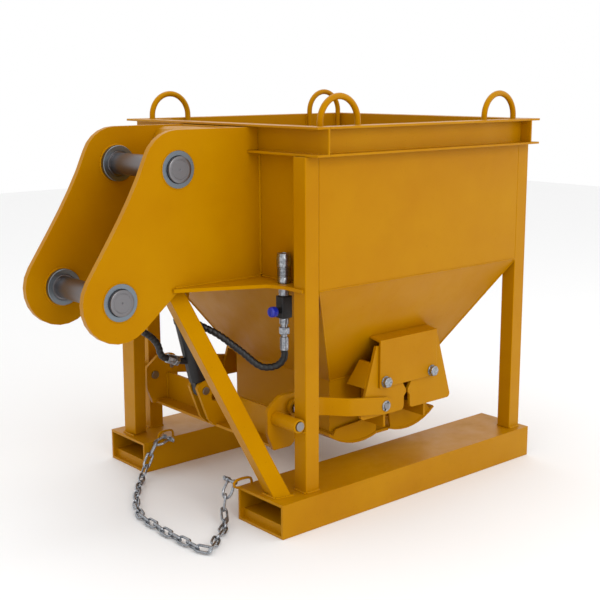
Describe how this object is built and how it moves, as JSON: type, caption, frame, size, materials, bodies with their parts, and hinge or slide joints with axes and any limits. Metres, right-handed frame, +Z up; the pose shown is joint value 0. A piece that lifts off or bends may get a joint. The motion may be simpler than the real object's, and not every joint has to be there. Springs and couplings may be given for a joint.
{
  "type": "jaw discharge concrete skip",
  "caption": "Square steel hopper on fork pockets with an excavator pin hitch, lifting eyes and a hydraulic yoke that opens twin bottom jaws.",
  "frame": {"origin": "on the ground under the middle of the bounding box", "axes": "+X along the fork pockets away from the hitch, +Z up, -Y the side with the hose coupler"},
  "size_m": [1.5138, 0.9426, 1.2196],
  "materials": {
    "yellow_paint": "semi-gloss yellow enamel",
    "machined_steel": "turned bright steel",
    "zinc_steel": "zinc plated",
    "chromed_rod": "hard chrome",
    "black_paint": "satin black",
    "black_rubber": "spiral wrapped hose",
    "blue_plastic": "gloss"
  },
  "bodies": {
    "frame": {"hopper_box": "yellow_paint", "hopper_funnel": "yellow_paint", "rim_channel_front": "yellow_paint", "rim_channel_back": "yellow_paint", "hitch_wrapper": "yellow_paint", "rim_channel_near": "yellow_paint", "rim_channel_far": "yellow_paint", "lifting_eye_front_near": "yellow_paint", "lifting_eye_front_far": "yellow_paint", "lifting_eye_back_near": "yellow_paint", "lifting_eye_back_far": "yellow_paint", "leg_front_near": "yellow_paint", "leg_front_far": "yellow_paint", "leg_back_near": "yellow_paint", "leg_back_far": "yellow_paint", "fork_pocket_near": "yellow_paint", "fork_pocket_far": "yellow_paint", "brace_near": "yellow_paint", "brace_far": "yellow_paint", "corner_gusset_near": "yellow_paint", "corner_gusset_far": "yellow_paint", "hitch_ear_near": "yellow_paint", "hitch_ear_far": "yellow_paint", "pivot_sleeve_near": "yellow_paint", "pivot_sleeve_far": "yellow_paint", "hinge_bracket_near": "yellow_paint", "hinge_bracket_far": "yellow_paint", "cylinder_top_bracket": "yellow_paint", "pin_boss_upper_near": "machined_steel", "pin_boss_upper_far": "machined_steel", "pin_boss_lower_near": "machined_steel", "pin_boss_lower_far": "machined_steel", "hitch_pin_upper": "machined_steel", "hitch_pin_lower": "machined_steel", "cylinder_top_pin": "machined_steel", "jaw_bolt_left_near": "zinc_steel", "jaw_bolt_left_far": "zinc_steel", "jaw_bolt_right_near": "zinc_steel", "jaw_bolt_right_far": "zinc_steel", "hose_coupler": "zinc_steel", "chain": "zinc_steel", "shackle_near": "zinc_steel", "shackle_far": "zinc_steel", "flow_valve": "black_paint", "hose": "black_rubber"},
    "yoke": {"yoke": "yellow_paint", "cylinder_foot_pin": "machined_steel", "link_stub_near": "machined_steel", "link_stub_far": "machined_steel", "yoke_pin_near": "machined_steel", "yoke_pin_far": "machined_steel"},
    "jaw_left": {"jaw_left": "yellow_paint", "link_pin_near": "machined_steel", "link_pin_far": "machined_steel"},
    "jaw_right": {"jaw_right": "yellow_paint"},
    "link_near": {"link_near": "yellow_paint"},
    "link_far": {"link_far": "yellow_paint"},
    "barrel": {"cylinder_barrel": "black_paint"},
    "rod": {"cylinder_rod": "chromed_rod"},
    "knob": {"valve_knob": "blue_plastic"}
  },
  "joints": [
    {"name": "yoke_pivot", "type": "hinge", "parent": "frame", "child": "yoke", "pos_m": [-0.236, 0, 0.304], "axis": [0, -1, 0], "range_deg": [0, 50]},
    {"name": "jaw_left_pivot", "type": "hinge", "parent": "frame", "child": "jaw_left", "pos_m": [0.163, 0, 0.347], "axis": [0, 1, 0], "range_deg": [0, 33.51]},
    {"name": "jaw_right_pivot", "type": "hinge", "parent": "frame", "child": "jaw_right", "pos_m": [0.369, 0, 0.347], "axis": [0, -1, 0], "range_deg": [0, 33.51]},
    {"name": "link_near_pivot", "type": "hinge", "parent": "jaw_left", "child": "link_near", "pos_m": [0.163, -0.36, 0.271], "axis": [0, -1, 0], "range_deg": [0, 27.51]},
    {"name": "link_far_pivot", "type": "hinge", "parent": "jaw_left", "child": "link_far", "pos_m": [0.163, 0.36, 0.271], "axis": [0, -1, 0], "range_deg": [0, 27.51]},
    {"name": "barrel_pivot", "type": "hinge", "parent": "yoke", "child": "barrel", "pos_m": [-0.271, 0, 0.328], "axis": [0, -1, 0], "range_deg": [-52.84, 0]},
    {"name": "rod_slide", "type": "slide", "parent": "barrel", "child": "rod", "axis": [-0.241, 0, 0.9705], "range_m": [0, 0.0321]},
    {"name": "knob_turn", "type": "hinge", "parent": "frame", "child": "knob", "pos_m": [-0.23, -0.306, 0.612], "axis": [-1, 0, 0], "range_deg": [0, 270]}
  ],
  "couplings": [
    {"joint": "jaw_left_pivot", "follows": "yoke_pivot", "ratio": 0.67},
    {"joint": "jaw_right_pivot", "follows": "yoke_pivot", "ratio": 0.67},
    {"joint": "link_near_pivot", "follows": "yoke_pivot", "ratio": 0.55},
    {"joint": "link_far_pivot", "follows": "yoke_pivot", "ratio": 0.55},
    {"joint": "barrel_pivot", "follows": "yoke_pivot", "ratio": -1.0566},
    {"joint": "rod_slide", "follows": "yoke_pivot", "m_per_rad": 0.0367}
  ]
}
